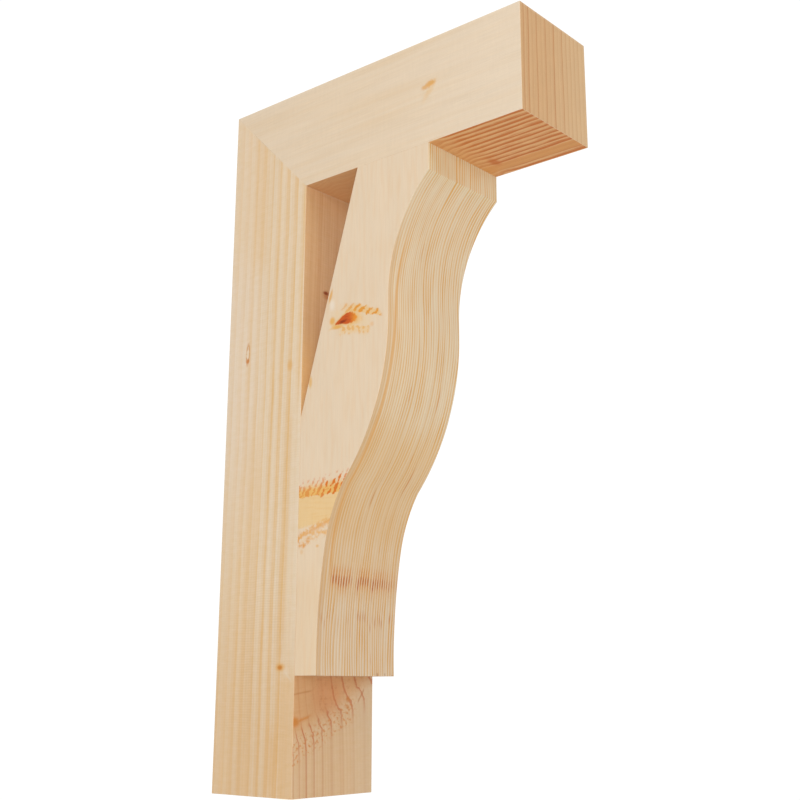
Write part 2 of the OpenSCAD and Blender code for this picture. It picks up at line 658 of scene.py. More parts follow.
# In each timber x runs across from its near side, d out from the wall and z up from the
# post's foot, all in inches.
post_wood, tree, shader, point = wood_material("post softwood")
x, d, z = split(point)
facing = use_group(tree, facing_tree)
front = facing["Front"]
fibre = use_group(tree, fibre_tree, Point=point, Streak_Size=(0.04, 0.04, 1.5), Cloud_Size=(0.8, 0.8, 7.0))
drift = noise(point, (2.0, 2.0, 9.0))
wobble = noise(point, (0.9, 0.9, 2.2), 1.0, 4.0)

# Just below the brace the rings bend over a branch that lies buried in the post.
bend_start = 1.65 + x * 0.50 + wobble * 0.08
above_edge = z - bend_start
hook_soft = 0.25
hook = (above_edge + (above_edge * above_edge + hook_soft * hook_soft).math("SQRT")) * 0.5
on_front = front * d.ramp(3.0, 3.5)
in_branch = on_front * z.ramp(5.6, 5.0)
POST_RING = 0.4525
count = (x + d - z * 0.0144 - 0.10) / POST_RING + drift * 0.14 + wobble * 0.04
front_count = (((x + z * 0.03) * 0.0956 + 0.0565).math("SQRT") - 0.308) / 0.0478 + 0.95
twist = noise(point, (0.35, 0.35, 0.28), 2.0, 11.0) * above_edge.near(0.2, 0.9)
hook_shift = hook * 2.3 * (hook * 1.3 + 1.0).over(1.0)
front_count = front_count + hook_shift + twist * 0.16 + wobble * 0.03
count = count + (front_count - count) * in_branch
ring = use_group(tree, ring_tree, Ring_Count=count, Dark_Share=0.80, Unevenness=0.6, Seed=3.0)
fine_ring = use_group(tree, ring_tree, Ring_Count=count * 3.3, Dark_Share=0.8, Unevenness=0.9, Seed=8.0)
late = ring["Late Wood"] * 0.95 + fine_ring["Late Wood"] * 0.28
plain_edge = d.ramp(3.46, 3.58) * z.ramp(15.0, 13.0)
late = late * (1.0 - plain_edge * 0.8) * (0.85 + noise(point, (0.3, 0.3, 2.5), 1.0, 17.0) * 0.3)

side_depth = ((x + d).ramp(1.2, 2.6) * 0.50 + 0.50) * (1.0 - z.ramp(13.0, 20.0) * 0.15)
pale_height = z.ramp(6.0, 15.0) - z.ramp(18.0, 21.0) * 0.6
pale_back = blend(pale_height, BACK_LOW, BACK_HIGH)
side_early = blend(d.ramp(2.4, 0.9), EARLY_WOOD, pale_back)
side_paint = Paint(blend(late * side_depth, side_early, LATE_TAN))
broad_band = d.band(1.35, 1.85, 0.22) * (z.band(-1.0, 11.0, 3.0) + z.ramp(18.5, 20.0))
side_paint.stain(broad_band * 0.22, LATE_TAN)
edge_band = (d - 3.25 - z * 0.017).near(0.0, 0.22) * z.band(6.0, 12.5, 1.5)
side_paint.stain(edge_band * 0.42, LATE_TAN)
low_edge = d.ramp(3.15, 3.40) * z.ramp(4.6, 3.6)
side_paint.stain(low_edge * 0.34 + spot(d, z, 2.88, 1.1, 0.34, 1.9) * 0.35, LATE_TAN)
front_late = ring["Late Wood"] * 0.22 + fine_ring["Late Wood"] * 0.22 + fibre["Streaks"] * 0.05
front_paint = Paint(blend(front_late, FRONT_EARLY, FRONT_LATE))
ring_line = ring["Line"] * (x.ramp(2.3, 1.2) * 0.75 + 0.22) * z.ramp(8.0, 4.0)
front_paint.stain(ring_line * 0.75, FRONT_LINE)
over_branch = in_branch * above_edge.ramp(-0.05, 0.7)
front_paint.stain(x.ramp(2.0, 3.9) * 0.42, FRONT_PALE)
front_paint.stain(over_branch * 0.70, OVER_BRANCH)
red_heart = spot(x, z, 1.65, 3.35, 1.10, 1.1) * in_branch
front_paint.stain(red_heart * 0.46, HEART_RED)
swept = noise(join(x, d, z - x * 0.16), (1.3, 1.3, 0.13), 2.0, 21.0).ramp(-0.2, 1.0)
swept = swept * over_branch * x.ramp(1.9, 0.7) * 0.30
front_paint.stain(swept, SWEPT_BROWN)
hook_end = above_edge.ramp(0.55, 0.25) * x.ramp(2.0, 1.5) + x.ramp(1.5, 2.0)
at_hooks = in_branch * above_edge.ramp(-0.9, 0.0) * hook_end
ragged = noise(point, (0.12, 0.12, 0.12), 2.0, 6.0)
hook_lines = at_hooks * (ring["Line"] * 1.45 + ragged * 0.30).ramp(0.15, 0.85)
front_paint.stain(hook_lines * 0.72, HOOK_RED)
fleck_noise = noise(point, (0.14, 0.14, 0.12), 2.0, 2.0)
fleck_band = above_edge.band(-0.55, 0.10, 0.25) * x.ramp(3.4, 2.6)
flecks = fleck_noise.ramp(0.0, 0.55) * fleck_band * in_branch
front_paint.stain(flecks * 0.78, FLECK_ORANGE)
ember = spot(x, z, 0.08, 2.48, 0.32, 0.26) * 0.9
ember_tail = (z - 2.42 - x * 0.32 + ragged * 0.03).near(0.0, 0.10) * x.ramp(1.0, 0.6) * 0.7
ember = ember.math("MAXIMUM", ember_tail) * in_branch
front_paint.stain(ember, EMBER)
ember = (spot(x, z, 2.70, 3.20, 0.17, 0.15) + spot(x, z, 2.68, 2.95, 0.13, 0.11)) * in_branch
front_paint.stain(ember * 0.65, DULL_EMBER)
torn_wood = ragged.ramp(0.0, 0.9) * over_branch * x.ramp(0.6, 1.2)
front_paint.stain(torn_wood * 0.40, TORN_BROWN)
bark_line = (z - 3.37 - x * 0.17 + wobble * 0.02).near(0.0, 0.06) * x.ramp(1.0, 0.7) * in_branch
front_paint.stain(bark_line * 0.55, BARK_BROWN)
cross_line = (z - 3.13 - (x - 3.23) * 1.35).near(0.0, 0.10) * x.band(3.25, 3.52, 0.06) * in_branch
front_paint.stain(cross_line * 0.6, CROSS_BROWN)
# Inside the gap the post's front is painted a darker tan as painted shade, and its grain lines are drawn
# over it.
in_gap = z.ramp(12.0, 14.0) * 0.6
front_paint.stain(in_gap, GAP_SHADE_TAN)
gap_line = fine_ring["Line"] * 0.45 + fibre["Streaks"].ramp(-0.2, 0.9) * 0.50 + ring["Late Wood"] * 0.30
front_paint.stain(gap_line * in_gap, GAP_LINE)
paint = Paint(blend(front, side_paint.colour, front_paint.colour))

# A pitch pocket, a smudge and a pin knot on the near side, and a dark knot in the gap.
near_side = facing["Side"] * x.ramp(0.6, 0.3)
POCKET_FROM_WALL = 1.07
POCKET_HEIGHT = 15.86
POCKET_REACH = (0.085, 0.35)
pocket_x = (d - POCKET_FROM_WALL - (z - 15.8) * 0.05) / POCKET_REACH[0]
pocket_z = (z - POCKET_HEIGHT) / POCKET_REACH[1]
pocket_torn = noise(point, (0.07, 0.07, 0.12), 2.0, 19.0)
pocket = (pocket_x * pocket_x + pocket_z * pocket_z).math("SQRT") + pocket_torn * 0.22
pocket_rim = pocket.near(1.0, 0.50) * (pocket_torn * 0.5 + 0.75).ramp(0.0, 1.0) * near_side
paint.stain(pocket.ramp(1.0, 0.7) * near_side * 0.6, PALE_BLOTCH)
paint.stain(pocket_rim * 0.80, PITCH_RIM)
tail = spot(d - z * -0.9, z, 7.28, 4.05, 0.10, 0.34) * near_side
paint.stain(tail * 0.6, PALE_TAIL)
SIDE_MARKS = (
    (1.08, 15.60, 0.12, 0.14, 0.9, (0.58, 0.20, 0.04, 1)),
    (3.38, 15.05, 0.20, 0.30, 0.6, (0.74, 0.40, 0.12, 1)),
    (3.60, 4.12, 0.24, 0.24, 0.5, PALE_BLOTCH),
    (3.31, 4.80, 0.04, 0.55, 0.45, (0.73, 0.40, 0.13, 1)),
    (3.29, 4.29, 0.32, 0.20, 0.85, (0.75, 0.42, 0.13, 1)),
    (3.28, 4.28, 0.17, 0.12, 0.85, (0.60, 0.22, 0.03, 1)),
)
paint.mark(d, z, near_side, SIDE_MARKS)
GAP_KNOT = (
    (1.28, 17.92, 0.34, 0.26, 0.8, (0.52, 0.190, 0.05, 1)),
    (1.18, 18.0, 0.20, 0.10, 1.0, (0.29, 0.060, 0.010, 1)),
)
paint.mark(x, z, on_front, GAP_KNOT)
# Painted light: a warm glow of bounced light on the post's front in the gap, strongest low down and on the
# near side.
painted_gap_light = (z.ramp(16.8, 14.6) + 0.25) * x.ramp(1.3, 0.3) * in_gap * on_front
paint.stain(painted_gap_light * 1.1, GAP_BOUNCE_LIGHT)

# The timber deepens a little towards its foot. It is faintly mottled across the grain, and
# the planer leaves a faint ripple.
foot = z.ramp(9.0, 1.0)
head = z.ramp(12.0, 22.0)
paint.multiply(blend(head, blend(foot, NO_TINT, FOOT_TINT), HEAD_TINT))
RIPPLE_RATE = 69.8
ripple = (z * RIPPLE_RATE + wobble * 2.0).math("SINE") * (drift + 0.8)
MOTTLE = (0.018, 0.034, 0.090)
cross_mottle = noise(point, (0.45, 0.45, 0.15), 2.0, 23.0)
mottled = vector_math("MULTIPLY_ADD", cross_mottle, MOTTLE, (1.0, 1.0, 1.0))
paint.colour = vector_math("MULTIPLY", paint.colour, mottled)
post_shade = 1.0 + fibre["Streaks"] * 0.036 + fibre["Clouds"] * 0.02 + ripple * 0.008
paint.shade(post_shade)
paint.stain(fibre["Resin"] * 0.35, POST_RESIN)
relief = ring["Line"] * 0.15 + fibre["Streaks"] * 0.3 + ripple * 0.1
finish_wood(tree, shader, paint.colour, relief, fibre["Clouds"])
dress(post, finish_tree, Unevenness=0.0002, Seed=1.0, Wood=post_wood)
settle(post, "post")

# The beam: the same 4 by 4 stock, mitred to the post at the wall and sawn square at its
# free end. What it carries rests along its level top.
beam_low, beam_high = box_in_mm("beam")


def mitre_back(points):
    """Leans the rows over, from plumb at the free end to the 45 degree mitre at the wall."""
    share = (points[:, 1] - beam_low[1]) / (beam_high[1] - beam_low[1])
    points[:, 1] += share * (points[:, 2] - beam_high[2])
    return points


beam = planed_block(
    "beam_timber",
    beam_low,
    beam_high,
    (ARRIS_EASE, SAWN_EASE, ARRIS_EASE),
    (ARRIS_EASE, JOINT_EASE, ARRIS_EASE),
    mitre_back,
)

# The colours of the beam: its side, its sawn end, its underside with its painted shade, its top and its
# knot.
BEAM_PALE = (0.785, 0.632, 0.462, 1)
BEAM_TAN = (0.765, 0.590, 0.400, 1)
BEAM_FREE_END = (0.800, 0.670, 0.520, 1)
END_LEFT = (0.700, 0.440, 0.218, 1)
END_RIGHT = (0.720, 0.482, 0.255, 1)
END_LATE = (0.555, 0.245, 0.090, 1)
SHADED_UNDER_EARLY = (0.840, 0.490, 0.215, 1)
SHADED_UNDER_PLAIN = (0.775, 0.375, 0.125, 1)
SHADED_UNDER_LATE = (0.64, 0.195, 0.045, 1)
UNDER_CURL = (0.72, 0.350, 0.120, 1)
UNDER_GAP_SHADE = (0.72, 0.440, 0.235, 1)
UNDER_KNOT = (0.62, 0.17, 0.035, 1)
TOP_EARLY = (0.780, 0.600, 0.415, 1)
TOP_LATE = (0.700, 0.420, 0.190, 1)
KNOT_TAIL = (0.77, 0.49, 0.21, 1)
KNOT_FRONT = (0.74, 0.360, 0.070, 1)
KNOT_BACK = (0.72, 0.350, 0.080, 1)
BEAM_RESIN = (0.70, 0.42, 0.18, 1)

beam_wood, tree, shader, point = wood_material("beam softwood")
x, d, z = split(point)
facing = use_group(tree, facing_tree)
level_face = facing["Level"]
fibre = use_group(tree, fibre_tree, Point=point, Streak_Size=(0.04, 1.5, 0.04), Cloud_Size=(0.8, 5.0, 0.6))
drift = noise(point, (1.3, 4.0, 1.3))
wobble = noise(point, (0.7, 1.2, 2.5), 1.0, 3.0)

# The sawn end shows upright lines and the planed faces above and below show closer ones.
END_RING = 0.262
LEVEL_RING = 0.292
end_count = (x + 0.06) / END_RING + wobble * 0.12
level_count = (x - 0.14) / LEVEL_RING + drift * 0.14 + wobble * 0.10
curl = d.ramp(11.1, 9.8) * facing["Under"]
level_count = level_count + curl * wobble * 1.1
count = end_count + level_face * (level_count - end_count)
uneven = 0.80 - level_face * 0.45
ring = use_group(tree, ring_tree, Ring_Count=count, Dark_Share=0.9, Unevenness=uneven, Seed=11.0)
fine_ring = use_group(tree, ring_tree, Ring_Count=count * 3.3, Dark_Share=0.8, Unevenness=0.9, Seed=8.0)
late = ring["Late Wood"] * 0.30 + ring["Line"] * 0.60 + fine_ring["Late Wood"] * 0.25

side_band = noise(point, (0.5, 7.0, 0.24), 2.0, 9.0)
side_paint = Paint(blend(side_band.ramp(-0.6, 0.9), BEAM_PALE, BEAM_TAN))
side_paint.stain(d.ramp(8.0, 13.0) * 0.4, BEAM_FREE_END)
paler_right = x.ramp(1.2, 3.4)
end_late = late * (1.25 - paler_right * 0.6)
end_early = blend(paler_right, END_LEFT, END_RIGHT)
end_colour = blend(end_late, end_early, END_LATE)
plain_band = x.band(3.15, 3.55, 0.1)
ragged = noise(point, (0.10, 0.9, 0.3), 2.0, 6.0)
under_late = (ring["Late Wood"] * 0.85 + fine_ring["Late Wood"] * 0.2 + ragged * 0.32).ramp(0.0, 0.70)
under_late = under_late * (1.0 - plain_band * 0.8)
under_late = under_late * (1.0 - curl * 0.55)
# The underside's deep orange is partly its edge-grain figure and partly painted shade with a warm bounce
# light.
shaded_under_early = blend(plain_band, SHADED_UNDER_EARLY, SHADED_UNDER_PLAIN)
shaded_under_paint = Paint(blend(under_late, shaded_under_early, SHADED_UNDER_LATE))
shaded_under_paint.stain(curl * 0.40, UNDER_CURL)
# Painted shade: the underside is darker inside the gap, near the wall.
shaded_under_paint.stain(d.ramp(8.0, 7.0) * 0.55, UNDER_GAP_SHADE)
swirl_knot = spot(x, d, 2.85, 10.75, 0.45, 0.28)
shaded_under_paint.stain(swirl_knot * 0.8, UNDER_KNOT)
paint = Paint(blend(facing["Front"], side_paint.colour, end_colour))
top_colour = blend(late * 0.8, TOP_EARLY, TOP_LATE)
paint.stain(level_face, top_colour)
# Undersides take this colour, which carries painted shade.
paint.stain(facing["Under"], shaded_under_paint.colour)

# A small pale knot in two parts on the near side, with the grain turning away from it.
near_side = facing["Side"] * x.ramp(0.6, 0.3)
knot_turn = noise(point, (0.10, 0.12, 0.10), 2.0, 7.0) * 0.05
knot_tail = spot(d * 0.75 - z * 0.66 + knot_turn, d * 0.66 + z * 0.75, -8.28, 24.62, 0.18, 0.66)
paint.stain(knot_tail * near_side * 0.42, KNOT_TAIL)
knot_heart = spot(d + knot_turn, z + knot_turn, 10.12, 24.24, 0.30, 0.18)
paint.stain(knot_heart * near_side * 0.80, KNOT_FRONT)
knot_heart = spot(d + knot_turn, z + knot_turn, 9.87, 24.16, 0.28, 0.15)
paint.stain(knot_heart * near_side * 0.70, KNOT_BACK)
cross_mottle = noise(point, (0.3, 0.11, 0.7), 1.0, 5.0)
beam_shade = 1.0 + fibre["Streaks"] * 0.042 + fibre["Clouds"] * 0.018 + cross_mottle * 0.018
paint.shade(beam_shade)
paint.stain(fibre["Resin"] * 0.3, BEAM_RESIN)
relief = ring["Line"] * 0.15 + fibre["Streaks"] * 0.3
finish_wood(tree, shader, paint.colour, relief, fibre["Clouds"])
dress(
    beam,
    finish_tree,
    Unevenness=0.0002,
    Patch=(0.03, 0.15, 0.03),
    Knot_Place=(-0.0508, -0.2545, 0.2845),
    Knot_Size=(0.008, 0.008, 0.005),
    Knot_Height=0.0001,
    Seed=2.0,
    Wood=beam_wood,
)
settle(beam, "beam")

# The brace: one thick board sawn to a scroll, that sits against the post's front and under
# the beam with no fixing showing. Its sloping back leaves a gap in the corner. The growth
# rings stand across its width: the scroll has some thirty lines, the sides nearly none.
brace_low, brace_high = box_in_mm("brace")
brace_tree, brace_in, brace_out = node_group(
    "scroll brace",
    "GeometryNodeTree",
    {
        "Geometry": ("NodeSocketGeometry", None),
        "Width": (FLOAT, 101.6),
        "Height": (FLOAT, 457.2),
        "Post Seat": (FLOAT, 228.6),
        "Seat Back": (FLOAT, 67.0),
        "Seat Front": (FLOAT, 152.4),
        "Lip": (FLOAT, 25.4),
        "Cove Radius": (FLOAT, 145.0),
        "Waist": (FLOAT, 106.0),
        "Waist Rise": (FLOAT, 305.5),
        "Swell Radius": (FLOAT, 219.0),
        "Arris Rise": (FLOAT, 165.1),
        "Toe": (FLOAT, 26.0),
        "Toe Rise": (FLOAT, 18.0),
        "Toe Radius": (FLOAT, 549.0),
        "Arris Ease": (FLOAT, ARRIS_EASE),
        "Joint Ease": (FLOAT, JOINT_EASE),
        "Sawn Ease": (FLOAT, SAWN_EASE),
        "Wood": ("NodeSocketMaterial", None),
    },
    {"Geometry": "NodeSocketGeometry"},
)
ACROSS_ROWS = 45
DEEP_ROWS = 37
HEIGHT_ROWS = 185


def leg(hypotenuse, side):
    """The other short side of a right triangle."""
    return (hypotenuse * hypotenuse - side * side).math("SQRT")


def row_place(row, rows, ease, half):
    """Distance in from the nearer edge for a lattice row, close together over the ease."""
    inner = (row - 2.0).math("MAXIMUM", 0.0)
    cell = (half - ease) / (0.5 * (rows - 1) - 2.0)
    return row.math("MINIMUM", 2.0) * 0.5 * ease + inner * cell


lattice = brace_tree.nodes.new("GeometryNodeMeshCube")
lattice.inputs["Size"].default_value = (1.0, 1.0, 1.0)
lattice.inputs["Vertices X"].default_value = ACROSS_ROWS
lattice.inputs["Vertices Y"].default_value = DEEP_ROWS
lattice.inputs["Vertices Z"].default_value = HEIGHT_ROWS
seat = lay(brace_tree, "GeometryNodeInputPosition", {})
share_x, share_y, share_z = split(seat)

# Height of each row above the brace's bottom.
height_row = ((share_z + 0.5) * (HEIGHT_ROWS - 1)).math("ROUND")
row_rise = brace_in["Height"] / (HEIGHT_ROWS - 5)
low_rows = ((height_row - 2.0) * row_rise).math("MAXIMUM", height_row * 0.5 * brace_in["Sawn Ease"])
from_top = (HEIGHT_ROWS - 1) - height_row
rise = low_rows.math("MINIMUM", brace_in["Height"] - from_top * 0.5 * brace_in["Joint Ease"])

# The scroll's outline at that height: toe, lower hollow, swell, waist, upper hollow, lip.
cove_r = brace_in["Cove Radius"]
swell_r = brace_in["Swell Radius"]
toe_r = brace_in["Toe Radius"]
cove_x = brace_in["Waist"] + cove_r
lip_rise = brace_in["Height"] - brace_in["Lip"]
cove_z = lip_rise - leg(cove_r, cove_x - brace_in["Seat Front"])
swell_x = brace_in["Waist"] - swell_r
swell_z = brace_in["Waist Rise"]
toe_x = brace_in["Toe"] + toe_r
toe_z = brace_in["Toe Rise"]
arris_z = brace_in["Arris Rise"]
arris_x = swell_x + leg(swell_r, swell_z - arris_z)
span_x = arris_x - toe_x
span_z = arris_z - toe_z
span = (span_x * span_x + span_z * span_z).math("SQRT")
bend_r = toe_r - cove_r
along = (bend_r * bend_r - cove_r * cove_r + span * span) / (span * 2.0)
aside = leg(bend_r, along)
hollow_x = toe_x + (span_x * along - span_z * aside) / span
hollow_z = toe_z + (span_z * along + span_x * aside) / span
blend_z = hollow_z - (toe_z - hollow_z) * cove_r / bend_r


def pick(test, if_false, if_true):
    """`if_true` where the test holds, else `if_false`."""
    return if_false + test * (if_true - if_false)


toe_line = toe_x - leg(toe_r, rise - toe_z)
hollow_gap = (rise - hollow_z).math("MINIMUM", cove_r)
hollow_line = hollow_x - leg(cove_r, hollow_gap)
swell_gap = (swell_z - rise).math("MAXIMUM", 0.0).math("MINIMUM", swell_r)
swell_line = swell_x + leg(swell_r, swell_gap)
cove_gap = (rise - cove_z).math("MAXIMUM", 0.0).math("MINIMUM", cove_r)
cove_line = cove_x - leg(cove_r, cove_gap)
front = pick(rise.math("GREATER_THAN", blend_z), toe_line, hollow_line)
front = pick(rise.math("GREATER_THAN", arris_z + 0.01), front, swell_line)
front = pick(rise.math("GREATER_THAN", swell_z), front, cove_line)
front = pick(rise.math("GREATER_THAN", lip_rise - 0.01), front, brace_in["Seat Front"])
back_slope = brace_in["Seat Back"] / (brace_in["Height"] - brace_in["Post Seat"])
back = (rise - brace_in["Post Seat"]).math("MAXIMUM", 0.0) * back_slope

# Each row is spread between back and front, and across the width.
half_width = brace_in["Width"] * 0.5
across_row = ((0.5 - share_x.math("ABSOLUTE")) * (ACROSS_ROWS - 1)).math("ROUND")
across = half_width - row_place(across_row, ACROSS_ROWS, brace_in["Arris Ease"], half_width)
half_depth = (front - back) * 0.5
deep_row = ((0.5 - share_y.math("ABSOLUTE")) * (DEEP_ROWS - 1)).math("ROUND")
deep = half_depth - row_place(deep_row, DEEP_ROWS, brace_in["Arris Ease"], half_depth)

# Every arris is eased: across and deep hold the distance past the eased corner's centre.
arris_ease = brace_in["Arris Ease"]
past_x = ((across - half_width) / arris_ease + 1.0).math("MAXIMUM", 0.0)
past_y = ((deep - half_depth) / arris_ease + 1.0).math("MAXIMUM", 0.0)
at_back = share_y.math("LESS_THAN", 0.0) * rise.math("LESS_THAN", brace_in["Post Seat"])
tight_y = 1.0 - at_back * (1.0 - JOINT_WEAR)
past_low = (1.0 - rise / brace_in["Sawn Ease"]).math("MAXIMUM", 0.0)
past_top = ((rise - brace_in["Height"]) / brace_in["Joint Ease"] + 1.0).math("MAXIMUM", 0.0)
past = past_x * past_x + past_y * past_y * tight_y + past_low * past_low + past_top * past_top * JOINT_WEAR
pull = 1.0 - past.math("SQRT").math("MAXIMUM", 1.0).over(1.0)
eased_x = across - past_x * arris_ease * pull
eased_y = deep - past_y * arris_ease * pull
eased_z = rise + (past_low * brace_in["Sawn Ease"] - past_top * brace_in["Joint Ease"]) * pull
middle = (front + back) * 0.5
place_x = share_x.math("SIGN") * eased_x
place_y = (middle - share_y.math("SIGN") * eased_y) * -1.0 + brace_high[1]
place_z = eased_z + brace_low[2]
place_mm = join(place_x, place_y, place_z)
brace_place = scale(place_mm, MM)
shaped = lay(
    brace_tree,
    "GeometryNodeSetPosition",
    {"Geometry": Field(brace_tree, lattice.outputs["Mesh"]), "Position": brace_place},
)
past_two = (past_x.math("GREATER_THAN", 0.01) + past_y.math("GREATER_THAN", 0.01)
            + past_low.math("GREATER_THAN", 0.01) + past_top.math("GREATER_THAN", 0.01))
marked = lay(
    brace_tree,
    "GeometryNodeStoreNamedAttribute",
    {"Geometry": shaped, "Name": "arris", "Value": past_two.math("GREATER_THAN", 1.5)},
    data_type="FLOAT",
    domain="POINT",
)
brace_single = lay(brace_tree, "GeometryNodeRealizeInstances", {"Geometry": marked})
brace_wooden = lay(
    brace_tree, "GeometryNodeSetMaterial", {"Geometry": brace_single, "Material": brace_in["Wood"]}
)
feed(brace_tree, brace_out.inputs["Geometry"], brace_wooden)

brace = bpy.data.objects.new("brace_scroll", bpy.data.meshes.new("brace_scroll"))
scene.collection.objects.link(brace)

# The colours of the brace: its bare wood, the scroll's marks, the upper and the lower knot.
BRACE_PALE = (0.790, 0.628, 0.450, 1)
BRACE_TAN = (0.782, 0.592, 0.398, 1)
SCROLL_EARLY = (0.800, 0.685, 0.520, 1)
SCROLL_LATE = (0.715, 0.370, 0.090, 1)
WARM_HOLLOW = (0.755, 0.500, 0.255, 1)
DULL_EDGE = (0.690, 0.465, 0.260, 1)
ORANGE_BAND = (0.720, 0.350, 0.080, 1)
DASH_FRINGE = (0.68, 0.270, 0.050, 1)
DASH_RED = (0.50, 0.120, 0.014, 1)
LOW_DASH = (0.57, 0.200, 0.045, 1)
FOOT_SPECK = (0.34, 0.11, 0.05, 1)
STREAK_RED = (0.60, 0.215, 0.045, 1)
RESIN_BROWN = (0.64, 0.25, 0.06, 1)
RIB_TAN = (0.68, 0.390, 0.150, 1)
SCROLL_TINT = (1.015, 0.985, 0.915, 1)
SCROLL_FOOT_TINT = (0.915, 0.87, 0.83, 1)
LIP_TINT = (1.0, 1.02, 0.93, 1)
LENS_YELLOW = (0.810, 0.585, 0.320, 1)
UPPER_GLOW = (0.815, 0.520, 0.200, 1)
UPPER_DASH = (0.76, 0.310, 0.040, 1)
LOWER_GLOW = (0.815, 0.530, 0.230, 1)
LOWER_DASH = (0.78, 0.40, 0.100, 1)
ROW_END = (0.79, 0.45, 0.20, 1)
EYE_GLOW = (0.80, 0.44, 0.10, 1)
EYE_SIDE_GLOW = (0.79, 0.41, 0.09, 1)
EYE_RED = (0.60, 0.085, 0.005, 1)
EYE_ORANGE = (0.81, 0.290, 0.025, 1)
EYE_STREAK = (0.36, 0.035, 0.004, 1)
EYE_HEART = (0.23, 0.022, 0.003, 1)
HONEY = (0.815, 0.555, 0.255, 1)
HONEY_LINE = (0.76, 0.44, 0.14, 1)
COMB_GLOW = (0.81, 0.455, 0.105, 1)
COMB_RED = (0.70, 0.185, 0.020, 1)
UNDER_STROKE = (0.75, 0.330, 0.060, 1)
UNDER_FRINGE = (0.77, 0.385, 0.090, 1)
LOOP_BROWN = (0.72, 0.310, 0.070, 1)
SPECK_TAN = (0.76, 0.41, 0.11, 1)
EDGE_FLECK = (0.74, 0.38, 0.10, 1)
SIDE_FOOT_TINT = (1.0, 0.97, 0.915, 1)

brace_wood, tree, shader, point = wood_material("brace softwood")
x, d, z = split(point)
facing = use_group(tree, facing_tree)
side = facing["Side"]
near_side = side * x.ramp(0.6, 0.3)
scroll = 1.0 - side
fibre = use_group(tree, fibre_tree, Point=point, Streak_Size=(0.035, 0.05, 1.2), Cloud_Size=(0.5, 1.0, 3.5))
drift = noise(point, (1.0, 3.0, 5.0))
wobble = noise(point, (0.5, 2.0, 2.5), 1.0, 6.0)
lean = z.ramp(16.0, 20.5) * 0.40 * x.ramp(0.5, 1.5)
SCROLL_RING = 0.128
count = (x + lean) / SCROLL_RING + drift * 0.7 + wobble * 0.25
ring = use_group(tree, ring_tree, Ring_Count=count, Dark_Share=0.90, Unevenness=0.65, Seed=23.0)
line_strength = 1.05 + noise(point, (0.30, 1.6, 1.8), 1.0, 1.0) * 0.65
late = ring["Late Wood"] * line_strength.math("MAXIMUM", 0.15) * (1.0 - z.ramp(11.5, 14.0) * 0.16)

streak_soft = noise(point, (0.3, 0.16, 1.3), 1.0, 8.0)
side_paint = Paint(blend(streak_soft.ramp(-0.4, 1.0), BRACE_PALE, BRACE_TAN))
face_paint = Paint(blend(late, SCROLL_EARLY, SCROLL_LATE))
face_shift = noise(point, (0.6, 3.0, 3.0), 1.0, 12.0)
warm_hollow = z.band(9.0, 11.5, 1.6) * 0.45 + z.band(6.9, 7.8, 0.6) * 0.3
warm_share = (face_shift.ramp(0.0, 1.0) * 0.22 + warm_hollow).math("MINIMUM", 0.8)
face_paint.stain(warm_share, WARM_HOLLOW)

# The near edge of the scroll is duller, beside one broad band of orange late wood.
dull_band = x.ramp(0.30, 0.12) * z.ramp(20.0, 18.0)
face_paint.stain(dull_band * 0.7, DULL_EDGE)
orange_place = 0.33 + z.ramp(14.0, 20.0) * 0.22 + z.ramp(10.0, 6.5) * 0.12 + wobble * 0.02
orange_wide = 0.10 + z.band(10.0, 16.0, 3.0) * 0.04 + drift * 0.02
orange = (x - orange_place).near(0.0, orange_wide) * z.ramp(20.0, 17.5) * z.ramp(6.6, 8.0)
face_paint.stain(orange * 0.72, ORANGE_BAND)

# Where a branch runs under the lower hollow, the late wood shows as rows of dark dashes.
dash_ring = ring["Late Wood"].ramp(0.08, 0.35)
dash_length = 0.24 + ring["Ring Tone"] * 0.16
DASH_HEIGHT = 7.20
LOW_DASH_HEIGHT = 5.85
dash_off = z - DASH_HEIGHT + (ring["Ring Tone"] - 0.5) * 0.18
dash_gate = 1.0 - (x - 1.66).near(0.0, 0.24) - (x - 2.50).near(0.0, 0.10) * 0.7
dash_gate = dash_gate * x.ramp(0.46, 0.54) * (1.0 - x.ramp(3.0, 3.9) * 0.7)
dash_patch = noise(point, (0.16, 9.0, 9.0), 0.0, 3.5).ramp(-0.9, 0.4) * 0.6 + 0.4
dash_row = dash_off.near(0.0, dash_length).ramp(0.10, 0.9) * dash_gate * dash_patch
dash_row = dash_row * (0.55 + ring["Ring Tone"] * 0.45)
dash_fringe = dash_off.near(0.06, dash_length * 2.5).ramp(0.1, 0.9) * dash_gate
face_paint.stain(dash_fringe * dash_ring * 0.65, DASH_FRINGE)
face_paint.stain(dash_row * dash_ring * 0.9, DASH_RED)
low_rise = (z - LOW_DASH_HEIGHT + (ring["Ring Tone"] - 0.5) * 0.5).near(0.0, 0.28)
low_row = low_rise * noise(point, (0.22, 2.0, 9.0), 0.0, 2.5).ramp(0.25, 0.6)
face_paint.stain(low_row * dash_ring * 0.50, LOW_DASH)
foot_specks = noise(point, (0.09, 1.0, 0.12), 0.0, 5.0).ramp(0.2, 0.6)
foot_specks = foot_specks * z.ramp(4.2, 4.06) * x.ramp(2.9, 3.3)
face_paint.stain(foot_specks * 0.8, FOOT_SPECK)
RED_STREAKS = (
    (3.17, 13.6, 0.04, 0.65, 0.75, STREAK_RED),
    (3.17, 10.8, 0.05, 0.70, 0.75, STREAK_RED),
    (1.75, 10.1, 0.04, 0.50, 0.75, STREAK_RED),
    (1.47, 18.7, 0.03, 0.45, 0.375, STREAK_RED),
)
face_paint.mark(x, z, 1.0, RED_STREAKS)
resin_mark = noise(point, (0.06, 0.9, 0.8), 0.0, 7.0).ramp(0.95, 1.2)
resin_mark = resin_mark * ring["Late Wood"].ramp(0.05, 0.4)
face_paint.stain(resin_mark * 0.7, RESIN_BROWN)

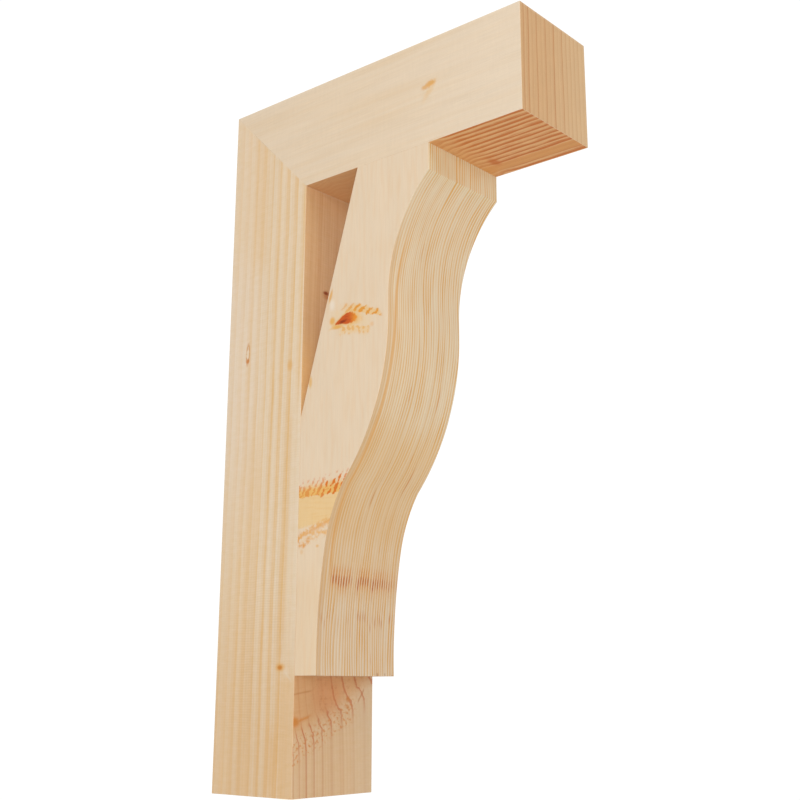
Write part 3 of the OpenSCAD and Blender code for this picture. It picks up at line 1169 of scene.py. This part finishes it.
# Seven deeper ribs of late wood down the swell: each has its place across and its strength.
RIBS = (
    (0.58, 0.6),
    (0.81, 0.3),
    (1.50, 0.35),
    (1.77, 0.5),
    (2.15, 0.3),
    (2.75, 0.55),
    (3.14, 0.6),
)
rib_height = z.band(9.6, 15.0, 1.2)
for rib_x, rib_strength in RIBS:
    rib = (x + drift * 0.03).near(rib_x, 0.10) * rib_height * rib_strength * scroll
    face_paint.stain(rib * 0.55, RIB_TAN)
foot_tone = z.ramp(12.0, 5.0)
face_tint = blend(foot_tone, SCROLL_TINT, SCROLL_FOOT_TINT)
face_tint = blend(z.ramp(20.6, 21.3), face_tint, LIP_TINT)
face_paint.multiply(face_tint)

# The upper knot: a dark eye in a lens of yellower wood, with feathered grain round it.
grain_break = noise(point, (0.12, 0.12, 0.10), 2.0, 4.0)
row_d = d - 5.95
upper_line = 16.69 - row_d * 0.18 - row_d * row_d * 0.065
lower_line = 16.02 - (d - 5.98) * 0.17
in_eye = (z - lower_line).ramp(-0.05, 0.12) * (upper_line - z).ramp(-0.05, 0.12)
in_eye = in_eye * d.band(5.75, 7.1, 0.5) * near_side
side_paint.stain(in_eye * 0.40, LENS_YELLOW)
upper_figure = {"Pitch": 0.31, "Slant": 0.9, "Up": 0.32, "Down": 0.10, "Tear": 0.25, "Seed": 1.0}
upper_row = use_group(tree, feather_tree, Along=d, Off=z - upper_line, **upper_figure)
upper_side = near_side * (d.ramp(5.9, 6.7) * 0.70 + 0.30) * d.band(6.0, 7.7, 0.25)
row_glow = upper_row["Row"].ramp(0.05, 0.75) * upper_side * 0.75
side_paint.stain(row_glow, UPPER_GLOW)
row_dash = upper_row["Dashes"].ramp(0.05, 0.60) * upper_side * 0.95
side_paint.stain(row_dash, UPPER_DASH)
lower_figure = {"Pitch": 0.24, "Slant": 0.2, "Up": 0.42, "Down": 0.10, "Tear": 0.6, "Seed": 2.0}
lower_row = use_group(tree, feather_tree, Along=d, Off=lower_line - z, **lower_figure)
lower_side = near_side * d.band(6.0, 7.15, 0.25)
row_glow = lower_row["Row"].ramp(0.1, 0.9) * lower_side * 0.60
side_paint.stain(row_glow, LOWER_GLOW)
row_dash = lower_row["Dashes"].ramp(0.05, 0.7) * lower_side * 0.70
side_paint.stain(row_dash, LOWER_DASH)
row_end = spot(d, z, 7.42, 15.88, 0.14, 0.13) * near_side
side_paint.stain(row_end * 0.5, ROW_END)
EYE_MIDDLE = 6.17
EYE_TIP = 5.67
EYE_HEIGHT = 16.19
core_x = (d - EYE_MIDDLE) / 0.53
tip_d = d - EYE_TIP
core_middle = EYE_HEIGHT + tip_d * 0.40 - tip_d * tip_d * 0.32
core_z = (z - core_middle) / (0.080 + tip_d.ramp(-0.07, 0.78) * 0.145)
core = (core_x * core_x + core_z * core_z).math("SQRT") + grain_break * 0.16
glow = core.ramp(1.8, 0.85) * near_side
side_paint.stain(glow * 0.75, EYE_GLOW)
left_glow = spot(d, z, 5.50, 16.34, 0.20, 0.22) + spot(d, z, 5.75, 16.07, 0.38, 0.11)
side_paint.stain(left_glow * near_side * 0.9, EYE_SIDE_GLOW)
core_colour = blend(d.ramp(6.25, 6.72), EYE_RED, EYE_ORANGE)
side_paint.stain(core.ramp(1.12, 0.90) * near_side * 0.95, core_colour)
heart_line = z + grain_break * 0.03 - (d - 6.0) * 0.10
core_streak = noise(point, (0.2, 0.22, 0.045), 2.0, 15.0).ramp(-0.1, 0.9) * core.ramp(1.0, 0.6)
side_paint.stain(core_streak * near_side * 0.55, EYE_STREAK)
heartwood = spot(d + grain_break * 0.06, heart_line, 6.02, 16.225, 0.28, 0.085)
side_paint.stain(heartwood * near_side * 0.80, EYE_HEART)

# The lower knot: a comb of dashes above a honey-yellow heart, and a weaker comb below it.
heart_edge = wobble * 0.10 + grain_break * 0.03
heart = (z + heart_edge - (d - 4.07) * 0.06).band(9.12, 10.22, 0.14) * near_side
side_paint.stain(heart * 0.85, HONEY)
heart_line = noise(point, (0.4, 0.8, 0.09), 1.0, 2.0).ramp(-0.2, 0.9) * heart
side_paint.stain(heart_line * 0.25, HONEY_LINE)
COMB_HEIGHT = 10.16
comb_line = COMB_HEIGHT + wobble * 0.04
comb_reach = 1.0 + (d - 4.0) * 0.14
comb_figure = {"Pitch": 0.27, "Slant": 0.7, "Up": 0.78, "Down": 0.12, "Tear": 0.7, "Seed": 3.0}
comb = use_group(tree, feather_tree, Along=d, Off=(z - comb_line) / comb_reach, **comb_figure)
comb_deep = 0.58 + d.band(5.4, 6.2, 0.5) * 0.42
comb_glow = comb["Row"].ramp(0.45, 1.0) * near_side * 0.85
side_paint.stain(comb_glow, COMB_GLOW)
comb_dash = comb["Dashes"].ramp(0.05, 0.6) * comb_deep * near_side
side_paint.stain(comb_dash, COMB_RED)
UNDER_COMB_HEIGHT = 8.70
under_line = UNDER_COMB_HEIGHT + (d - 4.0) * 0.31 + grain_break * 0.09
under_stroke = (z - under_line).near(0.0, 0.15) * (0.65 + grain_break * 0.35).math("MAXIMUM", 0.0)
side_paint.stain(under_stroke * near_side * 0.95, UNDER_STROKE)
under_curl = noise(point, (0.17, 0.17, 0.15), 1.0, 13.0)
under_fringe = under_curl.ramp(-0.4, 0.8) * (z - under_line).band(-0.30, 0.05, 0.22) * near_side
side_paint.stain(under_fringe * 0.80, UNDER_FRINGE)
loop_x = (d - 4.26) / 0.23
loop_z = (z - 8.60) / 0.20
loop = (loop_x * loop_x + loop_z * loop_z).math("SQRT") + grain_break * 0.15
loop_line = loop.near(1.0, 0.60) * z.ramp(8.75, 8.6) * (under_curl + 0.7).ramp(0.1, 1.2) * near_side
side_paint.stain(loop_line * 0.85, LOOP_BROWN)
speck = spot(d, z, 4.97, 8.34, 0.11, 0.08) * 0.6 + spot(d, z, 4.21, 8.18, 0.12, 0.13) * 0.35
side_paint.stain(speck * near_side, SPECK_TAN)
edge_fleck = spot(d - z * 0.29, z, 0.38, 17.3, 0.10, 0.36)
side_paint.stain(edge_fleck * near_side * 0.85, EDGE_FLECK)
STRAY_MARKS = (
    (5.48, 16.95, 0.17, 0.30, 0.6, (0.86, 0.76, 0.64, 1)),
    (4.46, 14.25, 0.13, 0.32, 0.8, HONEY_LINE),
)
side_paint.mark(d, z, near_side, STRAY_MARKS)

side_tint = blend(z.ramp(9.0, 6.5), NO_TINT, SIDE_FOOT_TINT)
side_paint.multiply(side_tint)
paint = Paint(blend(side, face_paint.colour, side_paint.colour))
brace_shade = 1.0 + fibre["Streaks"] * 0.030 + fibre["Clouds"] * 0.018
paint.shade(brace_shade)
relief = ring["Line"] * scroll * 0.2 + fibre["Streaks"] * 0.3 + core.ramp(1.3, 0.9) * near_side * 0.5
finish_wood(tree, shader, paint.colour, relief, fibre["Clouds"])
dress(brace, brace_tree, Wood=brace_wood)
dress(
    brace,
    finish_tree,
    Unevenness=0.0002,
    Knot_Place=(-0.0508, -0.1570, 0.0838),
    Knot_Size=(0.014, 0.014, 0.007),
    Knot_Height=0.00015,
    Seed=5.0,
    Wood=brace_wood,
)
settle(brace, "brace")
